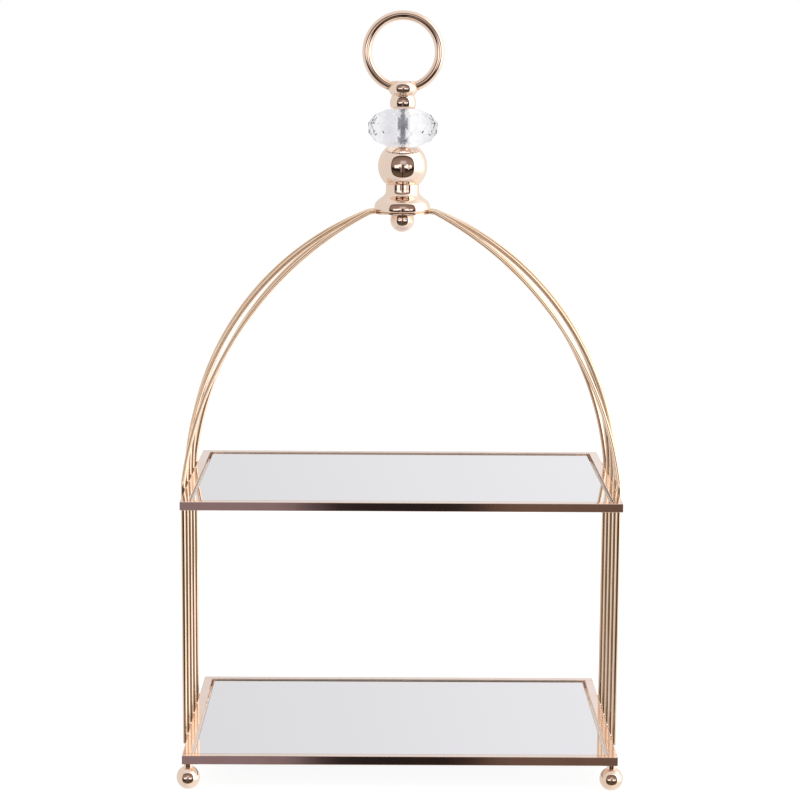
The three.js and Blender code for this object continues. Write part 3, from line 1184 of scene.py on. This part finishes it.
ringStyle = {
    "wireRadius": 3.3 * mm,
    "wireSides": 32,
    "steps": 160,
    "channelRadius": 3.6 * mm,     # the hole through the collar
    "channelHalfTurn": math.radians(50),
    "channelSteps": 48,
}
ringLow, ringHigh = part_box("carry_ring")
ringCentre = (ringLow + ringHigh) / 2
ringMiddle = (ringHigh.z - ringLow.z) / 2 - ringStyle["wireRadius"]


def makeBentTube(radius, sides, start, turn, steps, capped):
    # a circle spun about the ring's centre, angles in radians from straight down
    bpy.ops.mesh.primitive_circle_add(
        vertices=sides, radius=radius, fill_type="NGON" if capped else "NOTHING",
        location=ringCentre - Vector((0, 0, ringMiddle)), rotation=(0, math.pi / 2, 0))
    tube = bpy.context.object
    place(tube)
    tube.data.transform(
        Matrix.Translation(ringCentre) @ Matrix.Rotation(start, 4, "Y") @ Matrix.Translation(-ringCentre))
    enterEdit(tube)
    bpy.ops.mesh.select_all(action="SELECT")
    bpy.ops.mesh.spin(steps=steps, angle=-turn, center=ringCentre, axis=(0, 1, 0))
    bpy.ops.mesh.select_all(action="SELECT")
    bpy.ops.mesh.remove_doubles(threshold=turning["mergeWithin"])
    bpy.ops.mesh.normals_make_consistent(inside=False)
    bpy.ops.object.mode_set(mode="OBJECT")
    return tube


def carve(piece, tool):
    selectOnly(piece)
    cut = piece.modifiers.new("carve", "BOOLEAN")
    cut.operation = "DIFFERENCE"
    cut.object = tool
    cut.solver = "EXACT"
    bpy.ops.object.modifier_apply(modifier=cut.name)
    bpy.data.objects.remove(tool)


def makeCollar():
    # two beads with a waist, and a channel for the ring through the upper one
    s = ringStyle
    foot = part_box("ring_collar")[0].z
    bore = finialStyle["boreRadius"]
    boreTop = foot + finialStyle["collarBoreDepth"]
    outline = smoothLine(scaled(collarOutline, foot), finialStyle["collarSteps"])
    profile = [(bore, foot)] + outline
    profile += [(0, outline[-1][1]), (0, boreTop), (bore, boreTop), (bore, foot)]
    collar = turnPiece(profile)
    half = s["channelHalfTurn"]
    channel = makeBentTube(s["channelRadius"], s["wireSides"], -half, 2 * half, s["channelSteps"], True)
    carve(collar, channel)
    smoothOff(collar, turning["smoothAngle"])
    settle(collar, "ring_collar_turned", "stand", ["ring_collar"], "finial_plating", turnedGold)


def makeCarryRing():
    s = ringStyle
    ring = makeBentTube(s["wireRadius"], s["wireSides"], 0, 2 * math.pi, s["steps"], False)
    smoothOff(ring, degrees=60)
    settle(ring, "carry_ring_bent", "stand", ["carry_ring"], "ring_plating", ringGold)


studStyle = {
    "pitch": 0.8 * mm,
    "depth": 0.4 * mm,
    "chamfer": 0.5 * mm,
    "crestFrom": 0.45,           # shares of the pitch
    "crestTo": 0.55,
    "turns": 32,
}


def makeStud():
    s = studStyle
    low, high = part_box("finial_stud")
    radius = high.x
    profile = [(0, low.z), (radius - s["chamfer"], low.z)]
    threads = int((high.z - low.z - 2 * s["chamfer"]) / s["pitch"])
    start = low.z + s["chamfer"]
    for i in range(threads):
        profile += [
            (radius - s["depth"], start + i * s["pitch"]),
            (radius, start + (i + s["crestFrom"]) * s["pitch"]),
            (radius, start + (i + s["crestTo"]) * s["pitch"]),
        ]
    profile += [(radius - s["chamfer"], high.z), (0, high.z)]
    stud = turnPiece(profile, turns=s["turns"])
    settle(stud, "finial_stud_threaded", "stand", ["finial_stud"], "stud_steel", studSteel)


crystalStyle = {
    "flatAngle": math.radians(4),
    "mergeWithin": 0.005 * mm,
    "edge": 0.18 * mm,
    "boreZone": 4 * mm,          # edges this near the axis stay sharp
}


def makeCrystal():
    # the cut shape, with each sharp edge between facets just broken
    s = crystalStyle
    bead = nodes["crystal_bead"].copy()
    bead.data = nodes["crystal_bead"].data.copy()
    for key in list(bead.keys()):
        del bead[key]
    bead.parent = None
    bpy.context.scene.collection.objects.link(bead)
    bead.hide_render = False
    bead.hide_viewport = False
    enterEdit(bead)
    bpy.ops.mesh.select_all(action="SELECT")
    bpy.ops.mesh.remove_doubles(threshold=s["mergeWithin"])
    bpy.ops.mesh.normals_make_consistent(inside=False)
    bpy.ops.mesh.dissolve_limited(angle_limit=s["flatAngle"])

    def sharp(edge):
        outside = min(Vector(vertex.co[:2]).length for vertex in edge.verts) > s["boreZone"]
        return len(edge.link_faces) == 2 and outside and edge.calc_face_angle(0) > s["flatAngle"]

    choose(bead, "EDGE", sharp)
    bpy.ops.mesh.bevel(offset=s["edge"], segments=1, affect="EDGES")
    bpy.ops.object.mode_set(mode="OBJECT")
    bpy.ops.object.shade_flat()
    settle(bead, "crystal_bead_cut", "stand", ["crystal_bead"], "crystal", crystalGlass)


makeCrownPlate()
makeDomeNut()
makeFinialBase()
makeFinialBall()
makeCrystal()
makeCollar()
makeCarryRing()
makeStud()
print("finial made")
